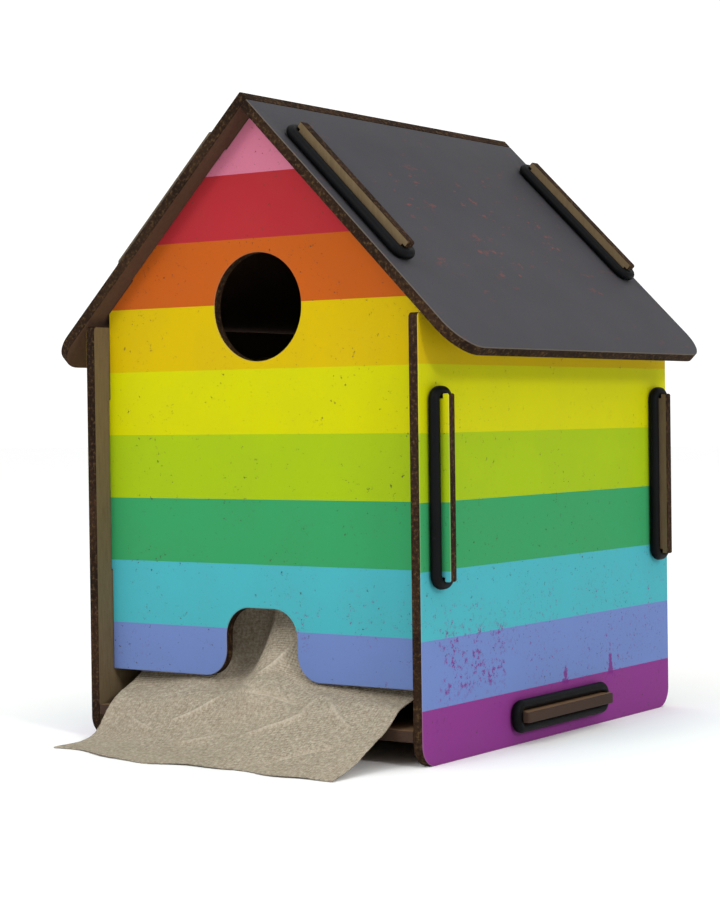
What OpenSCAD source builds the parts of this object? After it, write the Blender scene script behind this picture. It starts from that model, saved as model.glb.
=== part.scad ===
// Paper dispenser in the shape of a birdhouse. Seven boards plug together: long tabs pass through
// slots, and a rubber ring round each tab pulls the joint tight. A loose roll of paper lies on the
// floor board, and its tail comes out under the front.
// X is to the right, Y is to the back, Z is up. The ground is z = 0, and the origin is midway
// between the free edge of the paper and the back of the house.

/* [House] */
// Width over the two side panels
house_w = 114; // [112:1:160]
// Depth of the side panels, the floor and the roof
house_d = 140; // [135:1:200]
// Height of the ridge above the ground
ridge_h = 180; // [166:1:240]
// Thickness of every board
board_t = 3; // [2.5:0.1:5]
// How far the front and back panels stand in from the ends of the side panels
end_inset = 6.5; // [4:0.5:12]
// How far the eaves reach out past the side panels, measured level
eave_out = 14.4; // [6:0.2:25]
// Radius of the roof panels' lower corners
eave_r = 10; // [2:1:20]
// Gap between the outer top edge of a side panel and the roof
side_top_gap = 0.75; // [0.5:0.25:4]
// Radius of the side panels' bottom corners
foot_r = 6; // [2:0.5:12]
// Radius of the side panels' top corners
side_top_r = 1.2; // [0.5:0.1:4]
// Gap between boards that touch
fit_gap = 0.1; // [0.05:0.05:0.3]

/* [Openings] */
// Diameter of the entrance hole
hole_d = 30; // [20:1:44]
// Height of the front panel's bottom edge above the ground
front_lift = 19.2; // [17.5:0.1:26]
// Width of the notch in the front panel's bottom edge
notch_w = 24.5; // [16:0.5:40]
// Height of the notch above that edge
notch_h = 19.5; // [16:0.5:28]
// Radius of the notch's top corners
notch_top_r = 8; // [3:0.5:8]
// Radius of the corners where the notch meets the bottom edge
notch_foot_r = 7.5; // [3:0.5:8]

/* [Floor] */
// Height of the floor panel's underside above the ground
floor_z = 6.5; // [4:0.5:12]

/* [Tabs and rings] */
// Length of a tab
tab_l = 49; // [30:1:62]
// How far a tab stands out of the board it passes through
tab_out = 5; // [4.5:0.1:8]
// Radius of a tab's outer corners
tab_r = 0.6; // [0.2:0.1:1]
// Depth of the groove cut into each end of a tab for the ring
groove_d = 1.25; // [0.8:0.05:3]
// How far the side tabs sit above the middle of the panel's straight edge
side_tab_up = 2; // [0:0.5:4]
// How far the roof tabs sit below the middle of the gable's slope
roof_tab_down = 0.6; // [0:0.2:3]
// Thickness of the rubber rings
ring_d = 3; // [2:0.1:3.8]

/* [Paper] */
// Diameter of the paper roll
roll_d = 100; // [60:1:104]
// Width of the paper roll and its tail
roll_w = 97; // [80:1:100]
// Outer diameter of the roll's core
core_d = 45; // [30:1:50]
// Wall of the roll's core
core_t = 1.2; // [0.8:0.1:2]
// Gap below and in front of the roll, so that it can turn
roll_gap = 0.3; // [0.3:0.1:1]
// Thickness of the tail
tail_t = 0.8; // [0.4:0.1:1]
// Height of the tail's middle above the floor panel, where it crosses its front edge
tail_lip = 2.3; // [1.5:0.1:3]
// Slope of the tail as it comes out
tail_slope = 30; // [26:1:34]
// Slope of the tail at its free edge
tail_end_slope = 5; // [2:1:10]
// Radius of the bend behind the front panel
tail_bend_r = 16; // [10:1:20]
// Radius of the bend where the tail settles on the ground
tail_rest_r = 40; // [20:1:50]
// Gap between the tail's free edge and the ground
tail_lift = 0.3; // [0.1:0.1:1]
// How far the paper's free edge lies in front of the house
tail_reach = 28; // [27:0.5:60]

/* [Hidden] */
$fn = 64;

// The roof boards are cut square and butt at the ridge, so they slope at half a right angle.
roof_angle = 45;
board_color = "#6b5138";
left = -1;
right = 1;

// Heights
floor_top = floor_z + board_t;
under_ridge_z = ridge_h - board_t / cos(roof_angle);
side_h = under_ridge_z - (house_w / 2) * tan(roof_angle) - side_top_gap;
inner_half_w = house_w / 2 - board_t;
shoulder_z = under_ridge_z - inner_half_w * tan(roof_angle);
gable_z = under_ridge_z - fit_gap / cos(roof_angle);

// Boards
end_half_w = inner_half_w - fit_gap;
front_y = end_inset;
back_y = house_d - end_inset - board_t;
roof_l = (house_w / 2 + eave_out) / cos(roof_angle);

// Tabs: where each one's middle lies, along the edge that it stands on
side_tab_z = (front_lift + shoulder_z) / 2 + side_tab_up;
roof_tab_s = board_t + (inner_half_w / cos(roof_angle)) / 2 + roof_tab_down;
floor_tab_y = house_d / 2;
ring_lift = fit_gap / 2;
groove_h = ring_d + 2 * ring_lift;
neck_l = tab_l - 2 * groove_d;
slot_l = tab_l + 2 * fit_gap;
slot_w = board_t + 2 * fit_gap;
tab_root = board_t + 3 * fit_gap;

// Roll and tail
roll_y = house_d / 2;
roll_z = floor_top + roll_gap + roll_d / 2;
tail_drop_y = roll_y - roll_d / 2 - roll_gap - tail_t / 2;
tail_bend_y = tail_drop_y - tail_bend_r * (1 - sin(tail_slope));
tail_lip_z = floor_top + tail_lip;
tail_bend_z = tail_lip_z + tail_bend_y * tan(tail_slope);
tail_end_y = sin(tail_end_slope) * tail_t / 2 - tail_reach;
tail_end_z = tail_t / 2 + tail_lift;
// The rest bend begins where its far end runs straight on to the free edge.
tail_rest_in = tail_rest_r * (sin(tail_slope) - sin(tail_end_slope));
tail_rest_down = tail_rest_r * (cos(tail_end_slope) - cos(tail_slope));
tail_rest_y = (tail_end_z - tail_lip_z + tail_rest_down - (tail_rest_in + tail_end_y) * tan(tail_end_slope))
    / (tan(tail_slope) - tan(tail_end_slope));
tail_rest_z = tail_lip_z + tail_rest_y * tan(tail_slope);
bend_steps = 12;

// Middle line of the tail in the Y-Z plane, from the roll to the free edge: each entry is a point
// and the tail's slope there
tail_line = concat(
    [[tail_drop_y, roll_z, 90]],
    [for (i = [0 : bend_steps])
        let (a = 90 + (tail_slope - 90) * i / bend_steps)
        [tail_bend_y + tail_bend_r * (sin(a) - sin(tail_slope)),
         tail_bend_z + tail_bend_r * (cos(tail_slope) - cos(a)), a]],
    [for (i = [0 : bend_steps])
        let (a = tail_slope + (tail_end_slope - tail_slope) * i / bend_steps)
        [tail_rest_y - tail_rest_r * (sin(tail_slope) - sin(a)),
         tail_rest_z - tail_rest_r * (cos(a) - cos(tail_slope)), a]],
    [[tail_end_y, tail_end_z, tail_end_slope]]
);

// Points on one side of the middle line, at a distance from it
function beside(line, d) = [for (p = line) [p[0] - d * sin(p[2]), p[1] + d * cos(p[2])]];
function reversed(list) = [for (i = [len(list) - 1 : -1 : 0]) list[i]];

// Everything is drawn with the side panels' front edges at y = 0, and then moved to the origin.
module in_place() {
    translate([0, (tail_reach - house_d) / 2, 0]) children();
}

// The left-hand pieces mirror the right-hand ones.
module on_side(side) {
    if (side == left) mirror([1, 0, 0]) children();
    else children();
}

// Frame on a side panel's outer face: Z points out, X runs along an upright tab
module side_face(y, z) {
    translate([house_w / 2, y, z]) rotate([0, 90, 0]) children();
}

// Frame on the right roof panel's outer face: Z points out, X runs down the slope from the ridge
module roof_face(y) {
    translate([0, y, ridge_h]) rotate([0, roof_angle, 0]) children();
}

// What a round corner takes off a square one whose point is at the origin
module corner_cut(r) {
    difference() {
        translate([-fit_gap, -fit_gap]) square(r + fit_gap);
        translate([r, r]) circle(r);
    }
}

// Tab standing on its middle. y = 0 is the outer face of the board that it passes through.
module tab_outline() {
    difference() {
        union() {
            translate([-tab_l / 2, -tab_root]) square([tab_l, tab_root + tab_out - tab_r]);
            translate([tab_r - tab_l / 2, 0]) square([tab_l - 2 * tab_r, tab_out]);
            for (end = [-1, 1]) translate([end * (tab_l / 2 - tab_r), tab_out - tab_r]) circle(tab_r);
        }
        for (end = [0, 1]) mirror([end, 0])
            translate([neck_l / 2, 0]) square([tab_l, groove_h]);
    }
}

// Outline of the front and back panels, seen from the front, with its four tabs
module end_outline(bottom_z) {
    polygon([
        [-end_half_w, bottom_z], [end_half_w, bottom_z],
        [end_half_w, gable_z - end_half_w * tan(roof_angle)],
        [0, gable_z],
        [-end_half_w, gable_z - end_half_w * tan(roof_angle)]
    ]);
    for (side = [0, 1]) mirror([side, 0]) {
        translate([house_w / 2, side_tab_z]) rotate(-90) tab_outline();
        translate([0, ridge_h]) rotate(-roof_angle) translate([roof_tab_s, 0]) tab_outline();
    }
}

// Notch for the paper: round at the top, flared where it meets the bottom edge
module notch_outline() {
    translate([-notch_w / 2, -fit_gap]) square([notch_w, notch_h - notch_top_r + fit_gap]);
    translate([notch_top_r - notch_w / 2, 0]) square([notch_w - 2 * notch_top_r, notch_h]);
    for (side = [0, 1]) mirror([side, 0]) {
        translate([notch_w / 2 - notch_top_r, notch_h - notch_top_r]) circle(notch_top_r);
        translate([notch_w / 2, 0]) corner_cut(notch_foot_r);
    }
}

// Stands an outline up facing the front, with its front face at y
module upright(y) {
    translate([0, y + board_t, 0]) rotate([90, 0, 0]) linear_extrude(board_t) children();
}

module front_panel() {
    in_place() color("gold") upright(front_y) difference() {
        end_outline(front_lift);
        translate([0, shoulder_z]) circle(d = hole_d);
        translate([0, front_lift]) notch_outline();
    }
}

// The back is closed, and stands on the floor panel.
module back_panel() {
    in_place() color("gold") upright(back_y) end_outline(floor_top + fit_gap);
}

// Slot centred on a tab that runs along X
module slot() {
    square([slot_l, slot_w], center = true);
}

module side_panel(side) {
    in_place() on_side(side) color("yellowgreen")
        translate([inner_half_w, 0, 0]) rotate([90, 0, 90]) linear_extrude(board_t) difference() {
            square([house_d, side_h]);
            for (end = [0, 1]) translate([end * house_d, 0]) mirror([end, 0]) {
                corner_cut(foot_r);
                translate([0, side_h]) mirror([0, 1]) corner_cut(side_top_r);
            }
            for (y = [front_y, back_y]) translate([y + board_t / 2, side_tab_z]) rotate(90) slot();
            translate([floor_tab_y, floor_z + board_t / 2]) slot();
        }
}

// The left panel runs up over the right panel's top edge, which stops against it.
module roof_panel(side) {
    top_s = side == left ? 0 : board_t + fit_gap;
    in_place() on_side(side) color("#4a494c") roof_face(0)
        translate([0, 0, -board_t]) linear_extrude(board_t) difference() {
            translate([top_s, 0]) square([roof_l - top_s, house_d]);
            for (end = [0, 1])
                translate([roof_l, end * house_d]) mirror([0, end]) mirror([1, 0]) corner_cut(eave_r);
            for (y = [front_y, back_y]) translate([roof_tab_s, y + board_t / 2]) slot();
        }
}

module floor_panel() {
    in_place() color(board_color) translate([0, 0, floor_z]) linear_extrude(board_t) {
        translate([-end_half_w, 0]) square([2 * end_half_w, house_d]);
        for (side = [0, 1]) mirror([side, 0])
            translate([house_w / 2, floor_tab_y]) rotate(-90) tab_outline();
    }
}

// Rubber ring stretched round a tab's neck, lying on z = 0: straight runs and quarter turns
module ring() {
    turn_r = ring_d / 2 + fit_gap;
    half_l = neck_l / 2;
    half_t = board_t / 2;
    color("#1b1d20") translate([0, 0, ring_d / 2 + ring_lift]) for (turn = [0 : 3]) {
        corner = [turn < 2 ? half_l : -half_l, turn == 1 || turn == 2 ? half_t : -half_t, 0];
        run = turn % 2 == 0 ? half_t : half_l;
        translate(corner) rotate(90 * turn) {
            rotate([0, 0, -90]) rotate_extrude(angle = 90) translate([turn_r, 0]) circle(d = ring_d);
            translate([turn_r, 0, 0]) rotate([-90, 0, 0]) cylinder(h = 2 * run, d = ring_d);
        }
    }
}

module end_ring(side, y) {
    in_place() on_side(side) side_face(y + board_t / 2, side_tab_z) ring();
}

module floor_ring(side) {
    in_place() on_side(side) side_face(floor_tab_y, floor_z + board_t / 2) rotate(90) ring();
}

module roof_ring(side, y) {
    in_place() on_side(side) roof_face(y + board_t / 2) translate([roof_tab_s, 0, 0]) ring();
}

// Tube along X, round the roll's axis
module roll_tube(outer_d, inner_d) {
    in_place() translate([-roll_w / 2, roll_y, roll_z]) rotate([0, 90, 0]) difference() {
        cylinder(h = roll_w, d = outer_d);
        translate([0, 0, -1]) cylinder(h = roll_w + 2, d = inner_d);
    }
}

module paper_roll() {
    color("#b0a28f") roll_tube(roll_d, core_d + 2 * fit_gap);
}

module roll_core() {
    color("#9a8367") roll_tube(core_d, core_d - 2 * core_t);
}

module paper_sheet() {
    in_place() color("#b2a692") translate([-roll_w / 2, 0, 0]) rotate([90, 0, 90]) linear_extrude(roll_w)
        polygon(concat(beside(tail_line, tail_t / 2), reversed(beside(tail_line, -tail_t / 2))));
}

front_panel();
back_panel();
side_panel(left);  // left_side_panel
side_panel(right);  // right_side_panel
roof_panel(left);  // left_roof_panel
roof_panel(right);  // right_roof_panel
floor_panel();
end_ring(left, front_y);  // front_left_ring
end_ring(right, front_y);  // front_right_ring
end_ring(left, back_y);  // back_left_ring
end_ring(right, back_y);  // back_right_ring
floor_ring(left);  // floor_left_ring
floor_ring(right);  // floor_right_ring
roof_ring(left, front_y);  // roof_front_left_ring
roof_ring(right, front_y);  // roof_front_right_ring
roof_ring(left, back_y);  // roof_back_left_ring
roof_ring(right, back_y);  // roof_back_right_ring
paper_roll();
roll_core();
paper_sheet();
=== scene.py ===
import math

import bpy
from mathutils import Matrix, Vector, noise


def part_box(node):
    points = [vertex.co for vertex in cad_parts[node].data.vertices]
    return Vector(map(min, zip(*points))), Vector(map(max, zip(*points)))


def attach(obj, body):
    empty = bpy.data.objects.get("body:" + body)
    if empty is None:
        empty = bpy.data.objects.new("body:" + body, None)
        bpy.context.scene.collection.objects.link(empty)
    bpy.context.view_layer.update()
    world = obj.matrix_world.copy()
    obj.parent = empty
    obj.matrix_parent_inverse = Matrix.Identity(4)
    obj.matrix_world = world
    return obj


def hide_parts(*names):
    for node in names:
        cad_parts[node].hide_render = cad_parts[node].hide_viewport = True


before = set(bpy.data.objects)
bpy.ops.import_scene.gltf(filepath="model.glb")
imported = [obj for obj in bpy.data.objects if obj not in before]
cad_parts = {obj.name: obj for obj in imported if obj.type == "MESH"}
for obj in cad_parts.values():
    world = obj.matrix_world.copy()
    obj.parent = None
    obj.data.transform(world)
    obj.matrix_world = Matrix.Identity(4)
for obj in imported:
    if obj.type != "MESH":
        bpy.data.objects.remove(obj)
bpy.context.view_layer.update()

# ---------------------------------------------------------------------------------------------
# Studio: a plain white table top in a white room, looked at from the front right at half the
# house's height. The key light hangs high in front. A smaller, lower one on the right lights
# the side board below the eaves.

def pick_none():
    bpy.ops.object.select_all(action="DESELECT")


eye = Vector((0.3613, -0.5209, 0.09175))
yaw, pitch, roll = math.radians(34.782), math.radians(0.939), math.radians(-0.744)
ahead = Vector((-math.sin(yaw) * math.cos(pitch), math.cos(yaw) * math.cos(pitch), -math.sin(pitch)))
level = Vector((math.cos(yaw), math.sin(yaw), 0))
upright = level.cross(ahead)
across = level * math.cos(roll) + upright * math.sin(roll)
above = upright * math.cos(roll) - level * math.sin(roll)

bpy.ops.object.camera_add(location=eye)
camera = bpy.context.object
camera.name = "camera"
turn = Matrix((across, above, -ahead)).transposed().to_4x4()
camera.matrix_world = Matrix.Translation(eye) @ turn
camera.data.sensor_fit = "HORIZONTAL"
camera.data.sensor_width = 36
camera.data.lens = 107.86
camera.data.clip_start = 0.01
bpy.context.scene.camera = camera
bpy.context.scene.view_settings.view_transform = "Standard"


class Value:
    """A number, colour or direction inside a finish. Sums on it add Math nodes."""

    def __init__(self, tree, socket=None):
        self.tree, self.socket = tree, socket

    def node(self, kind, settings=(), sockets=(), out=0):
        """Adds any other node: its settings first, then what its sockets hold or are fed by."""
        made = self.tree.nodes.new("ShaderNode" + kind)
        for name, value in dict(settings).items():
            if name == "stops":
                while len(made.color_ramp.elements) < len(value):
                    made.color_ramp.elements.new(0.5)
                for stop, (place, tint) in zip(made.color_ramp.elements, value):
                    stop.position, stop.color = place, tint
            elif name == "steps":
                made.color_ramp.interpolation = value
            else:
                setattr(made, name, value)
        for name, value in dict(sockets).items():
            if isinstance(value, Value):
                self.tree.links.new(value.socket, made.inputs[name])
            else:
                made.inputs[name].default_value = value
        return Value(self.tree, made.outputs[out] if made.outputs else None)

    def sum(self, operation, first, second=None):
        values = {0: first} if second is None else {0: first, 1: second}
        return self.node("Math", {"operation": operation}, values)

    def __add__(self, other):
        return self.sum("ADD", self, other)

    def __radd__(self, other):
        return self.sum("ADD", other, self)

    def __sub__(self, other):
        return self.sum("SUBTRACT", self, other)

    def __rsub__(self, other):
        return self.sum("SUBTRACT", other, self)

    def __mul__(self, other):
        return self.sum("MULTIPLY", self, other)

    def __rmul__(self, other):
        return self.sum("MULTIPLY", other, self)

    def step(self, low, high):
        """0 below low, 1 above high, and a soft step between them."""
        return self.node("MapRange", {"interpolation_type": "SMOOTHSTEP"},
                         {"Value": self, "From Min": low, "From Max": high})

    def over(self, under, tint):
        """This value as a mask: tint where it is 1, under where it is 0."""
        return self.node("Mix", {"data_type": "RGBA"}, {0: self, 6: under, 7: tint}, out=2)


def shade(red, green, blue):
    """A paint's colour from its usual 0 to 255 values."""
    return tuple(
        part / 12.92 if part <= 0.04045 else ((part + 0.055) / 1.055) ** 2.4
        for part in (red / 255, green / 255, blue / 255)
    ) + (1.0,)


world = bpy.data.worlds.new("soft_room")
bpy.context.scene.world = world
world.use_nodes = True
world.node_tree.nodes.clear()
mix = Value(world.node_tree)
level_light, overhead_light, white_wall = (
    mix.node("Background", {}, {"Color": (1, 1, 1, 1), "Strength": strength})
    for strength in (0.28, 1.42, 1.1))
height_up = mix.node("SeparateXYZ", {}, {0: mix.node("TexCoord", out="Generated")}, out=2)
from_above = mix.node("MixShader", {}, {0: height_up, 1: level_light, 2: overhead_light})
seen_behind = mix.node("LightPath", out="Is Camera Ray")
beyond = mix.node("MixShader", {}, {0: seen_behind, 1: from_above, 2: white_wall})
mix.node("OutputWorld", {}, {"Surface": beyond})

HOUSE_MIDDLE = Vector((0, 0, 0.08))     # what both lights point at


def soft_light(name, place, watts, width):
    """A square soft box that faces the house."""
    bpy.ops.object.light_add(type="AREA", location=place)
    lamp = bpy.context.object
    lamp.name = name
    lamp.data.energy = watts
    lamp.data.size = width
    lamp.rotation_euler = (HOUSE_MIDDLE - Vector(place)).to_track_quat("-Z", "Y").to_euler()


soft_light("key_light", (-0.2, -1.45, 1.05), 8, 0.6)
soft_light("side_light", (1.45, -0.5, 0.78), 7.7, 0.26)

bpy.ops.mesh.primitive_plane_add(size=9, location=(0, 0, 0))
table_top = bpy.context.object
table_top.name = "table_top"


def new_finish(name):
    """An empty material, and the value from which its nodes are added."""
    made = bpy.data.materials.new(name)
    made.use_nodes = True
    made.node_tree.nodes.clear()
    return made, Value(made.node_tree)


def lay_on(mix, colour, roughness, height=None, depth=0.0001, settled=()):
    """Ends a finish in one shader. height times depth is the relief in metres."""
    sockets = {"Base Color": colour, "Roughness": roughness}
    if height is not None:
        sockets["Normal"] = mix.node("Bump", {}, {"Height": height, "Distance": depth, "Strength": 1.0})
    sockets.update(dict(settled))
    body = mix.node("BsdfPrincipled", {}, sockets)
    mix.node("OutputMaterial", {}, {"Surface": body})


def grain(mix, place, scale, detail=3.0, rough=0.55, stretch=None):
    """Fine cloudy noise, with scale in lumps to the metre, pulled out along an axis if asked."""
    if stretch:
        place = mix.node("Mapping", {}, {"Vector": place, "Scale": stretch})
    return mix.node("TexNoise", {"noise_dimensions": "3D"},
                    {"Vector": place, "Scale": scale, "Detail": detail, "Roughness": rough})


table_finish, mix = new_finish("matt_white_table")
spot = mix.node("TexCoord", out="Object")
cloud = grain(mix, spot, 14)
lay_on(mix, cloud.over(shade(250, 250, 250), shade(254, 254, 254)), 0.8 + 0.1 * cloud)
table_top.data.materials.append(table_finish)

# ---------------------------------------------------------------------------------------------
# Boards: seven laser-cut boards 3 mm thick. The front, back and sides are printed outside with
# ten level stripes, the roof is plain dark grey, and cut edges and inner faces stay bare brown.

BOARD_EDGE = 0.0002     # what handling takes off each cut edge
STRIPE_TOP_OF_FIRST = 0.0144
STRIPE_H = 0.018
STRIPES = [
    shade(128, 50, 126), shade(103, 125, 180), shade(68, 165, 176), shade(50, 146, 90),
    shade(152, 179, 16), shade(192, 192, 0), shade(196, 168, 0), shade(178, 84, 22),
    shade(164, 40, 48), shade(196, 112, 138),
]
STRIPE_RANGE = 0.2      # height that the ramp of stripes covers
PRINT_FADE = 0.0002     # how softly the print ends at the roof line


def worn_copy(node, name, edge=BOARD_EDGE):
    """A CAD piece's own shape as a new piece, with its sharp edges taken off."""
    pick_none()
    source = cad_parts[node]
    piece = source.copy()
    piece.data = source.data.copy()
    piece.name = piece.data.name = name
    piece.parent = None
    piece.matrix_world = Matrix.Identity(4)
    bpy.context.scene.collection.objects.link(piece)
    piece.select_set(True)
    bpy.context.view_layer.objects.active = piece
    bpy.ops.object.mode_set(mode="EDIT")
    bpy.ops.mesh.select_all(action="SELECT")
    bpy.ops.mesh.remove_doubles(threshold=0.000002)
    bpy.ops.mesh.dissolve_limited(angle_limit=math.radians(0.4))
    bpy.ops.object.mode_set(mode="OBJECT")
    rim = piece.modifiers.new("rim", "BEVEL")
    rim.width, rim.segments = edge, 1
    rim.limit_method, rim.angle_limit = "ANGLE", math.radians(40)
    bpy.ops.object.modifier_apply(modifier="rim")
    bpy.ops.object.shade_smooth_by_angle(angle=math.radians(30))
    piece.data.materials.clear()
    return piece


def stripe_colour(mix, height):
    """The ten printed stripes, lowest first, for a height in metres."""
    tops = [STRIPE_TOP_OF_FIRST + STRIPE_H * count for count in range(len(STRIPES) - 1)]
    places = [0.0] + [top / STRIPE_RANGE for top in tops]
    return mix.node("ValToRGB", {"steps": "CONSTANT", "stops": list(zip(places, STRIPES))},
                    {"Fac": height * (1 / STRIPE_RANGE)})


def board_finish(name, outward, coat, inside, bare_above=1.0):
    """A board's finish. coat gives its outer face's colour and roughness, up to the roof line."""
    made, mix = new_finish(name)
    spot = mix.node("TexCoord", out="Object")
    facing = mix.node("TexCoord", out="Normal")
    outer = mix.node("VectorMath", {"operation": "DOT_PRODUCT"}, {0: facing, 1: outward},
                     out="Value")
    x, y, z = (mix.node("SeparateXYZ", {}, {0: spot}, out=axis) for axis in range(3))
    fine = grain(mix, spot, 2600, 4.0, 0.7)
    patch = grain(mix, spot, 60, 3.0)
    fibre = grain(mix, spot, 420, 4.0, 0.65, (3.0, 3.0, 0.35))
    burnt = patch.step(0.3, 0.7).over(shade(34, 23, 16), shade(52, 36, 25))
    speck = grain(mix, spot, 1000, 3.0, 0.7)
    burnt = (0.55 * speck.step(0.52, 0.66)).over(burnt, shade(96, 76, 48))
    burnt = (0.6 * (1 - speck.step(0.36, 0.48))).over(burnt, shade(20, 14, 10))
    bare = fibre.over(*inside)
    bare = (0.35 * fine).over(bare, shade(62, 46, 30))
    wood = (outer * outer).step(0.8, 0.92).over(burnt, bare)
    ink, gloss = coat(mix, spot, (x, y, z), fine, patch)
    below = 1 - (mix.sum("ABSOLUTE", x) + z).step(bare_above - PRINT_FADE, bare_above)
    printed = below * outer.step(0.9, 0.96)
    # Pale line on the print's chamfer: chipped print plus a painted highlight on the edge.
    rim = below * outer.step(0.45, 0.6)
    colour = rim.over(wood, (0.1 + 0.25 * fine).over(ink, shade(150, 136, 112)))
    colour = printed.over(colour, ink)
    roughness = printed * gloss + (1 - printed) * (0.84 + 0.1 * fine)
    relief = fine * 0.4 + (1 - printed) * fibre
    lay_on(mix, colour, roughness, relief, 0.00005, {"Specular IOR Level": 0.06})
    return made


def between(value, low, high, soft):
    """1 where value lies between low and high, fading over soft outside them."""
    return value.step(low - soft, low) * (1 - value.step(high, high + soft))


# Wear on the print, in metres. Purple crumbs lie in a cluster near a side's front foot and in a
# loose band over the second stripe, and two smears rise from the lowest stripe on each side.
CLUSTER_Y, CLUSTER_Z = (-0.0445, -0.016), (0.021, 0.031)
BAND_TOP = 0.036
SMEARS = ((0.019, 0.006), (0.046, 0.008))   # each one's place along the right side, and height
SMEAR_HALF_W = 0.0018
LEFT_FORWARD = 0.03     # how much nearer the front they are on the left side


def striped(mix, spot, place, fine, patch):
    """Printed stripes with a few dark flecks, and purple wear near the foot."""
    x, y, z = place
    ink = stripe_colour(mix, z)
    ink = (0.05 * patch.step(0.3, 0.7)).over(ink, shade(90, 84, 60))
    ink = (0.16 * fine.step(0.5, 0.85)).over(ink, shade(60, 54, 40))
    thin = grain(mix, spot, 62, 2.0).step(0.44, 0.58)
    nick = grain(mix, spot, 760, 4.0, 0.8)
    fleck = thin * nick.step(0.635, 0.65) + nick.step(0.675, 0.69)
    ink = (0.7 * fleck).over(ink, shade(62, 56, 44))
    crumb = grain(mix, spot, 600, 4.0, 0.85)
    cluster = between(y, *CLUSTER_Y, 0.004) * between(z, *CLUSTER_Z, 0.007)
    spread = grain(mix, spot, 135, 2.0).step(0.42, 0.52)
    rub = cluster * spread * crumb.step(0.545, 0.56)
    band = between(z, STRIPE_TOP_OF_FIRST, BAND_TOP, 0.012) * thin
    rub = rub + band * crumb.step(0.615, 0.63) * (0.2 + x.step(0.0, 0.02))
    on_right = x.step(-0.001, 0.001)
    over_first = z.step(STRIPE_TOP_OF_FIRST - 0.001, STRIPE_TOP_OF_FIRST)
    for place_y, tall in SMEARS:
        reach = (1 - (z - STRIPE_TOP_OF_FIRST) * (1 / tall)) * SMEAR_HALF_W
        aside = mix.sum("ABSOLUTE", y - place_y - LEFT_FORWARD * (on_right - 1))
        ragged = reach - aside + 0.006 * (crumb - 0.5)
        rub = rub + ragged.step(0.0, 0.0003) * over_first
    ink = mix.sum("MINIMUM", 0.85 * rub, 0.85).over(ink, shade(112, 34, 116))
    return ink, 0.5 + 0.12 * fine


SCRATCHED_Y, SCRATCHED_Z = (-0.02, 0.05), (0.132, 0.158)    # where the roof is scratched most


def dark_grey(mix, spot, place, fine, patch):
    """Plain dark grey with a few reddish scratches rubbed through to the board."""
    _, y, z = place
    tone = patch.over(shade(61, 60, 64), shade(69, 68, 72))
    tone = (0.4 * fine.step(0.4, 0.8)).over(tone, shade(52, 50, 53))
    high = between(z, *SCRATCHED_Z, 0.012) * between(y, *SCRATCHED_Y, 0.02)
    long_spot = mix.node("Mapping", {},
                         {"Vector": spot, "Scale": (1.0, 0.4, 1.0), "Rotation": (0, 0, 0.5)})
    nick = grain(mix, long_spot, 420, 4.0, 0.7).step(0.585, 0.64)
    ghost = (0.25 + 0.75 * high) * grain(mix, spot, 65, 2.0).step(0.45, 0.6)
    tone = (0.6 * nick * ghost).over(tone, shade(122, 68, 64))
    return tone, 0.5 + 0.14 * fine


RIDGE_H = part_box("left_roof_panel")[1][2]
ROOF_SLANT = 0.7071     # sideways and upward shares of the 45 degree roof's outward direction
WALL_INSIDE = shade(94, 80, 58), shade(132, 114, 86)
# Roof insides: redder than the walls', and darker as painted shade under the roof.
ROOF_INSIDE_PAINTED_SHADE = shade(68, 50, 40), shade(98, 74, 60)
BOARDS = {
    "front_panel": ("front_board", (0, -1, 0), striped),
    "back_panel": ("back_board", (0, 1, 0), striped),
    "left_side_panel": ("side_board", (-1, 0, 0), striped),
    "right_side_panel": ("side_board", (1, 0, 0), striped),
    "left_roof_panel": ("roof_board", (-ROOF_SLANT, 0, ROOF_SLANT), dark_grey),
    "right_roof_panel": ("roof_board", (ROOF_SLANT, 0, ROOF_SLANT), dark_grey),
}
for node, (slot, outward, coat) in BOARDS.items():
    board = worn_copy(node, node.replace("panel", "board"))
    roof_line, inside = (RIDGE_H, WALL_INSIDE) if coat is striped else (1.0, ROOF_INSIDE_PAINTED_SHADE)
    print_name = node.replace("panel", "print")
    board.data.materials.append(board_finish(print_name, outward, coat, inside, roof_line))
    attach(board, "house")
    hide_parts(node)

# ---------------------------------------------------------------------------------------------
# Floor board: the same brown board, bare on both faces. Its tabs pass through the side boards
# and carry a ring each, and the roll lies loose on it.

floor_board = worn_copy("floor_panel", "floor_board")
floor_finish, mix = new_finish("bare_floor_board")
spot = mix.node("TexCoord", out="Object")
facing = mix.node("SeparateXYZ", {}, {0: mix.node("TexCoord", out="Normal")}, out=2)
fine = grain(mix, spot, 2600, 4.0, 0.7)
fibre = grain(mix, spot, 420, 4.0, 0.65, (3.0, 0.35, 3.0))
patch = grain(mix, spot, 45, 3.0)
flat = (facing * facing).step(0.8, 0.9)
bare = fibre.over(shade(104, 76, 50), shade(140, 108, 76))
bare = (0.3 * fine).over(bare, shade(74, 52, 34))
colour = flat.over(patch.over(shade(44, 30, 23), shade(68, 48, 36)), bare)
lay_on(mix, colour, 0.8 + 0.12 * fine, fine + fibre, 0.00006, {"Specular IOR Level": 0.3})
floor_board.data.materials.append(floor_finish)
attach(floor_board, "house")
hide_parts("floor_panel")

# ---------------------------------------------------------------------------------------------
# Rubber rings: ten black moulded rings of 3 mm cord. Each is stretched over a tab's ears, sits in
# its neck against the board that the tab came through, and so pulls the two boards together.

RING_D = 0.003
RING_TURN = 0.00235     # radius of each quarter turn, to the middle of the cord
TURN_X, TURN_Y = 0.0227, 0.00075
RING_UP = 0.00155       # from the board's face to the middle of the cord
SIDE_TAB_Z = 0.07248    # height of the middle of the front and back boards' side tabs
ROOF_TAB_RUN = 0.04178  # from the ridge down the slope to the middle of a roof tab

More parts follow.
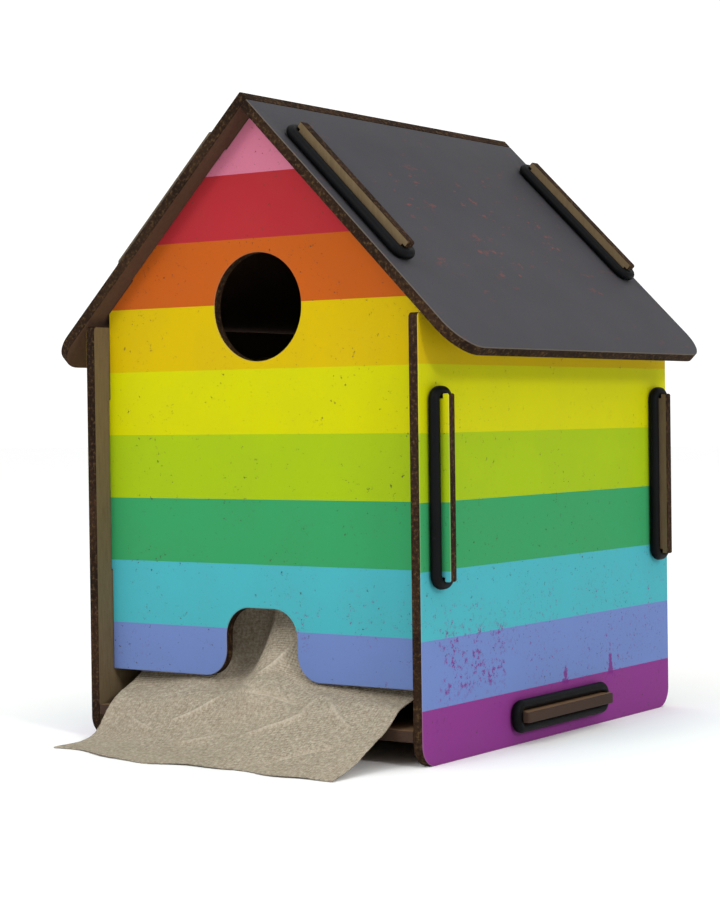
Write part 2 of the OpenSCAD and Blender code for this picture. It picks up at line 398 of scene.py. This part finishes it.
pick_none()
bpy.ops.mesh.primitive_circle_add(vertices=20, radius=RING_D / 2, rotation=(math.pi / 2, 0, 0),
                                  location=(TURN_X + RING_TURN, -TURN_Y, RING_UP))
ring_pattern = bpy.context.object
ring_pattern.name = "ring_pattern"
bpy.ops.object.transform_apply(location=True, rotation=True, scale=True)
bpy.ops.object.mode_set(mode="EDIT")
bpy.ops.mesh.select_all(action="SELECT")
for quarter in range(4):
    along = Matrix.Rotation(quarter * math.pi / 2, 3, "Z") @ Vector((0, 1, 0))
    run = 2 * (TURN_Y, TURN_X)[quarter % 2]
    steps = (1, 8)[quarter % 2]     # the long runs are cut into more lengths
    for _ in range(steps):
        bpy.ops.mesh.extrude_region_move(TRANSFORM_OT_translate={"value": along * (run / steps)})
    corner = (TURN_X * (1, -1, -1, 1)[quarter], TURN_Y * (1, 1, -1, -1)[quarter], RING_UP)
    bpy.ops.mesh.spin(steps=10, angle=-math.pi / 2, center=corner, axis=(0, 0, 1))
bpy.ops.mesh.select_all(action="SELECT")
bpy.ops.mesh.remove_doubles(threshold=0.00002)
bpy.ops.mesh.normals_make_consistent(inside=False)
bpy.ops.object.mode_set(mode="OBJECT")
bpy.ops.object.shade_smooth()

ring_finish, mix = new_finish("black_rubber")
spot = mix.node("TexCoord", out="Object")
fine = grain(mix, spot, 3200, 3.0, 0.6)
patch = grain(mix, spot, 160, 3.0)
tone = patch.over(shade(5, 5, 6), shade(14, 15, 17))
tone = (0.4 * grain(mix, spot, 900, 4.0, 0.7).step(0.6, 0.75)).over(tone, shade(42, 42, 46))
lay_on(mix, tone, 0.42 + 0.2 * patch, fine, 0.00005, {"Specular IOR Level": 0.08})

HOUSE_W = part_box("right_side_panel")[1][0] * 2
ring_places = {}
for end in ("front", "back"):
    panel_low, panel_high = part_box(end + "_panel")
    middle_y = (panel_low[1] + panel_high[1]) / 2
    for side, sign in (("left", -1), ("right", 1)):
        outward_turn = Matrix.Rotation(sign * math.pi / 2, 4, "Y")
        ring_places[f"{end}_{side}_ring"] = (
            Matrix.Translation((sign * HOUSE_W / 2, middle_y, SIDE_TAB_Z)) @ outward_turn)
        roof_turn = Matrix.Rotation(sign * math.pi / 4, 4, "Y")
        ring_places[f"roof_{end}_{side}_ring"] = (
            Matrix.Translation((0, middle_y, RIDGE_H)) @ roof_turn
            @ Matrix.Translation((sign * ROOF_TAB_RUN, 0, 0)))
floor_low, floor_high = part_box("floor_panel")
for side, sign in (("left", -1), ("right", 1)):
    middle_y, middle_z = ((floor_low[axis] + floor_high[axis]) / 2 for axis in (1, 2))
    place = (sign * HOUSE_W / 2, middle_y, middle_z)
    ring_places[f"floor_{side}_ring"] = (
        Matrix.Translation(place) @ Matrix.Rotation(sign * math.pi / 2, 4, "Y")
        @ Matrix.Rotation(math.pi / 2, 4, "Z"))
for node, place in ring_places.items():
    ring = ring_pattern.copy()
    ring.data = ring_pattern.data.copy()
    ring.data.transform(place)
    ring.name = ring.data.name = node.replace("ring", "rubber")
    bpy.context.scene.collection.objects.link(ring)
    ring.data.materials.append(ring_finish)
    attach(ring, "house")
    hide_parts(node)
bpy.data.objects.remove(ring_pattern)

# ---------------------------------------------------------------------------------------------
# Roll: brown tissue wound on a card tube, lying loose on the floor board. The turns show as fine
# steps on its ends, and the sheet is embossed with a small weave.

ROLL_R, ROLL_W, BORE_R = 0.05, 0.097, 0.0226
ROLL_AXIS = Vector((0, 0.014, 0.0598))
TURN_STEPS = 22         # rings of faces on each end
OUTER_TURN = 0.0004     # width of the smooth outermost one
TURN_SHIFT = 0.00018    # how far a step stands in or out of the end
TURN_PITCH = 0.0006     # from one turn of the sheet to the next, as its fine lines show it
WEAVE_PITCH = 0.0008    # from one embossed thread to the next

pick_none()
bpy.ops.mesh.primitive_cylinder_add(vertices=144, radius=ROLL_R, depth=ROLL_W,
                                    rotation=(0, math.pi / 2, 0), location=ROLL_AXIS)
wound = bpy.context.object
wound.name = wound.data.name = "wound_tissue"
bpy.ops.object.transform_apply(location=True, rotation=True, scale=True)
bpy.ops.object.mode_set(mode="EDIT")
bpy.ops.mesh.select_mode(type="FACE")
bpy.ops.mesh.select_all(action="DESELECT")
bpy.ops.object.mode_set(mode="OBJECT")
for face in wound.data.polygons:
    face.select = abs(face.normal.x) > 0.9
bpy.ops.object.mode_set(mode="EDIT")
bpy.ops.mesh.inset(thickness=OUTER_TURN, depth=0.0, use_individual=True)
gap = (ROLL_R - BORE_R - OUTER_TURN) / TURN_STEPS
for count in range(TURN_STEPS):
    sink = TURN_SHIFT * math.sin(count * 2.4) - TURN_SHIFT * math.sin((count - 1) * 2.4)
    bpy.ops.mesh.inset(thickness=gap, depth=sink, use_individual=True)
bpy.ops.mesh.delete(type="FACE")
bpy.ops.mesh.select_mode(type="EDGE")
bpy.ops.mesh.select_all(action="DESELECT")
bpy.ops.mesh.select_non_manifold()
bpy.ops.mesh.bridge_edge_loops()
bpy.ops.mesh.select_all(action="SELECT")
bpy.ops.mesh.normals_make_consistent(inside=False)
bpy.ops.object.mode_set(mode="OBJECT")
bpy.ops.object.shade_smooth_by_angle(angle=math.radians(40))

TISSUE, TISSUE_DARK = shade(167, 156, 138), shade(136, 125, 107)
PALE_FIBRE, DARK_FIBRE = shade(196, 184, 166), shade(114, 101, 84)


def weave(mix, across_sheet, along_sheet):
    """The embossed weave, from places across and along the sheet in metres: 0 to 1."""
    pitch = 2 * math.pi / WEAVE_PITCH
    warp = mix.sum("SINE", across_sheet * pitch)
    weft = mix.sum("SINE", along_sheet * pitch)
    return 0.5 + 0.25 * warp + 0.25 * weft


def tissue_shade(mix, spot, cloth):
    """Unbleached tissue: its weave, pale and dark fibres, and paler clouds."""
    speck = grain(mix, spot, 1150, 3.0, 0.75)
    colour = (0.5 * cloth).over(TISSUE, TISSUE_DARK)
    colour = (0.65 * speck.step(0.5, 0.66)).over(colour, PALE_FIBRE)
    colour = (0.6 * (1 - speck.step(0.34, 0.5))).over(colour, DARK_FIBRE)
    cloud = grain(mix, spot, 60, 4.0).step(0.35, 0.7)
    return (0.25 * cloud).over(colour, shade(170, 159, 140))


roll_finish, mix = new_finish("wound_brown_tissue")
spot = mix.node("TexCoord", out="Object")
centred = mix.node("VectorMath", {"operation": "SUBTRACT"}, {0: spot, 1: tuple(ROLL_AXIS)})
x, y, z = (mix.node("SeparateXYZ", {}, {0: centred}, out=axis) for axis in range(3))
radius = mix.sum("SQRT", y * y + z * z)
angle = mix.sum("ARCTAN2", z, y)
side_face = mix.node("SeparateXYZ", {}, {0: mix.node("TexCoord", out="Normal")}, out=0)
end = (side_face * side_face).step(0.4, 0.7)
turns = 0.5 + 0.5 * mix.sum("SINE", radius * (2 * math.pi / TURN_PITCH) + angle)
fine = grain(mix, spot, 1900, 4.0, 0.75)
relief = end * turns + (1 - end) * weave(mix, x, angle * ROLL_R)
lay_on(mix, tissue_shade(mix, spot, relief), 0.92, relief + 0.6 * fine, 0.00012,
       {"Specular IOR Level": 0.06})
wound.data.materials.append(roll_finish)
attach(wound, "roll")
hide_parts("paper_roll")

# ---------------------------------------------------------------------------------------------
# Core: a tube of grey-brown card, wound in a spiral from two strips, whose seam runs round it.

STRIP_LEAD = 0.075      # length of tube that one turn of the strip takes up
CORE_EDGE = 0.00015     # taken off the edges of its cut ends

core = worn_copy("roll_core", "card_core", CORE_EDGE)
core_finish, mix = new_finish("wound_card")
spot = mix.node("TexCoord", out="Object")
centred = mix.node("VectorMath", {"operation": "SUBTRACT"}, {0: spot, 1: tuple(ROLL_AXIS)})
x, y, z = (mix.node("SeparateXYZ", {}, {0: centred}, out=axis) for axis in range(3))
angle = mix.sum("ARCTAN2", z, y)
lap = mix.sum("FRACT", x * (1 / STRIP_LEAD) + angle * (0.5 / math.pi))
seam = lap.step(0.0, 0.02) * (1 - lap.step(0.97, 1.0))
fibre = grain(mix, spot, 700, 4.0, 0.7)
colour = fibre.over(shade(128, 106, 82), shade(160, 138, 112))
colour = (0.6 * (1 - seam)).over(colour, shade(84, 66, 48))
lay_on(mix, colour, 0.85, fibre + 2 * seam, 0.0001, {"Specular IOR Level": 0.25})
core.data.materials.append(core_finish)
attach(core, "roll")
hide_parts("roll_core")

# ---------------------------------------------------------------------------------------------
# Tail: the end of the tissue, 97 mm wide. It hangs down the front of the roll, turns forward
# under the front board, passes close above the floor board's edge and ends on the table.

SHEET_T = 0.0003
SHEET_L = 0.088
HALF_W = ROLL_W * 1000 / 2
LOWEST = 0.3            # height of the sheet's middle where it lies on the table, in millimetres
# A hump near the middle and a hollow to its left, in millimetres
HUMP_X, HUMP_HALF_W, HUMP_H = 3, 15, 5.0
HOLLOW_X, HOLLOW_HALF_W, HOLLOW_DEPTH = -11, 9.5, 6.5
# The sheet's run in the Y-Z plane from the roll to its torn end, drawn at four places across it
RUNS = {
    0.0: [(-36.6, 59.8), (-37.0, 44), (-38.4, 29), (-43.0, 18.2),
          (-55, 12.0), (-60.6, 6.0), (-66.0, 2.0), (-77.6, 0.3)],
    0.3: [(-36.6, 59.8), (-37.2, 45), (-39.4, 31), (-45.5, 19.6),
          (-55.5, 14.2), (-62.5, 7.8), (-71.0, 2.8), (-84.0, 0.3)],
    0.66: [(-36.6, 59.8), (-37.2, 45), (-39.4, 32), (-46.0, 20.6),
           (-55, 15.4), (-64, 9.2), (-73.5, 4.0), (-83.8, 0.3)],
    1.0: [(-36.6, 59.8), (-37.0, 44), (-38.2, 29), (-44.4, 18.4),
          (-54, 14.2), (-63, 8.6), (-73, 4.0), (-83.6, 0.3)],
}
# Creases: where each crosses the sheet, its direction, reach, depth and width, in millimetres
CREASES = [
    (5, 37, 62, 12, 1.1, 0.8), (0, 47, -30, 10, -1.1, 0.9), (10, 51, -8, 13, -1.0, 0.9),
    (-14, 57, 44, 16, 1.1, 0.7), (16, 63, 40, 16, 1.1, 0.7), (31, 74, 40, 16, -1.0, 0.8),
    (-33, 65, -32, 14, 0.7, 1.2), (31, 55, -46, 13, 0.9, 0.8), (-7, 72, 25, 12, 0.8, 0.8),
    (-26, 48, 20, 11, -0.6, 1.0), (22, 52, 70, 8, 0.8, 0.7),
]


def smooth_run(points, t):
    """A point at t from 0 to 1 on the smooth curve through points."""
    spans = len(points) - 1
    index = min(int(t * spans), spans - 1)
    f = t * spans - index
    near = [points[max(0, min(spans, index + shift))] for shift in (-1, 0, 1, 2)]
    return [
        0.5 * (2 * b + (c - a) * f + (2 * a - 5 * b + 4 * c - d) * f * f
               + (3 * b - a - 3 * c + d) * f ** 3)
        for a, b, c, d in zip(*near)
    ]


def rise(value, low, high):
    """0 below low, 1 above high, and a soft step between them."""
    f = max(0.0, min(1.0, (value - low) / (high - low)))
    return f * f * (3 - 2 * f)


def swell(x, middle, half_w):
    """1 at middle, falling smoothly to 0 at half_w on either side of it."""
    return math.cos(min(1.0, abs(x - middle) / half_w) * math.pi / 2) ** 2


def sheet_point(u, v):
    """Where a place on the sheet lies, in millimetres: u runs across it, v down from the roll."""
    x = (u - 0.5) * ROLL_W * 1000
    places = sorted(RUNS)
    k = max(index for index in range(len(places) - 1) if places[index] <= max(u, 0))
    f = rise(u, places[k], places[k + 1])
    first, second = smooth_run(RUNS[places[k]], v), smooth_run(RUNS[places[k + 1]], v)
    y = first[0] * (1 - f) + second[0] * f
    z = first[1] * (1 - f) + second[1] * f
    down = SHEET_L * 1000 * v
    late = 1 - rise(v, 0.5, 0.72)
    hump = HUMP_H * swell(x, HUMP_X, HUMP_HALF_W) * rise(v, 0.2, 0.4) * late
    hollow = HOLLOW_DEPTH * swell(x, HOLLOW_X, HOLLOW_HALF_W) * rise(v, 0.08, 0.24)
    hollow *= 1 - rise(v, 0.36, 0.52)
    fold = 0
    for at_x, at_down, angle, reach, depth, width in CREASES:
        cos, sin = math.cos(math.radians(angle)), math.sin(math.radians(angle))
        along = (x - at_x) * cos - (down - at_down) * sin
        aside = (x - at_x) * sin + (down - at_down) * cos + along * along / 55 * math.copysign(1, depth)
        fold += depth * math.exp(-abs(aside) / width) * (1 - rise(abs(along), reach * 0.1, reach))
    fold *= rise(v, 0.2, 0.4)
    wide_wave = 0.6 * noise.noise(Vector((x * 0.06, down * 0.07, 1.3)))
    lift = wide_wave + 0.12 * noise.noise(Vector((x * 0.3, down * 0.3, 7)))
    lift = lift * rise(v, 0.25, 0.5) * (1 - rise(v, 0.85, 1.0)) + fold
    y += hollow - 0.75 * hump - 0.4 * lift
    z += 0.65 * hump + 0.9 * lift
    tear = rise(v, 0.9, 1.0)
    ragged = 1.3 * math.sin(x * 0.12 + 0.4) + 0.7 * math.sin(x * 0.31 + 2)
    y += tear * (ragged + 0.5 * noise.noise(Vector((x * 0.9, 0, 5))))
    z += tear * 0.12 * (1 + math.sin(x * 0.19 + 1.2)) * rise(HALF_W - abs(x), 0, 10)
    corner = tear * rise(-x, 30, 49)
    y -= 1.4 * corner
    x -= 2.6 * corner
    edge_wave = 0.5 * noise.noise(Vector((down * 0.09, 3, u)))
    x += rise(v, 0.35, 0.6) * (edge_wave + 0.2 * noise.noise(Vector((down * 0.6, 9, u))))
    return x, y, max(z, LOWEST), fold


pick_none()
bpy.ops.mesh.primitive_grid_add(x_subdivisions=210, y_subdivisions=225, size=1, location=(0, 0, 0))
tail = bpy.context.object
tail.name = tail.data.name = "tissue_tail"
crease = tail.data.attributes.new("crease", "FLOAT", "POINT")
for point in tail.data.vertices:
    x, y, z, fold = sheet_point(point.co.x + 0.5, 0.5 - point.co.y)
    point.co = Vector((x, y, z)) / 1000
    crease.data[point.index].value = abs(fold)
bpy.ops.object.shade_smooth()
ply = tail.modifiers.new("ply", "SOLIDIFY")
ply.thickness, ply.offset = SHEET_T, 0
bpy.ops.object.modifier_apply(modifier="ply")

tail_finish, mix = new_finish("brown_tissue")
spot = mix.node("TexCoord", out="Object")
flat = mix.node("UVMap", {"uv_map": "UVMap"})
across_sheet = mix.node("SeparateXYZ", {}, {0: flat}, out=0) * ROLL_W
along_sheet = mix.node("SeparateXYZ", {}, {0: flat}, out=1) * SHEET_L
cloth = weave(mix, across_sheet, along_sheet)
fine = grain(mix, spot, 1900, 4.0, 0.75)
# Paler along the creases: a painted highlight where light catches each fold's ridge.
crease_painted_highlight = mix.node("Attribute", {"attribute_name": "crease"}, out="Fac")
colour = (0.5 * crease_painted_highlight.step(0.15, 1.0)).over(tissue_shade(mix, spot, cloth), shade(204, 193, 175))
lay_on(mix, colour, 0.92, 1.3 * cloth + 0.7 * fine, 0.00012, {"Specular IOR Level": 0.06})
tail.data.materials.append(tail_finish)
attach(tail, "house")
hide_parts("paper_sheet")
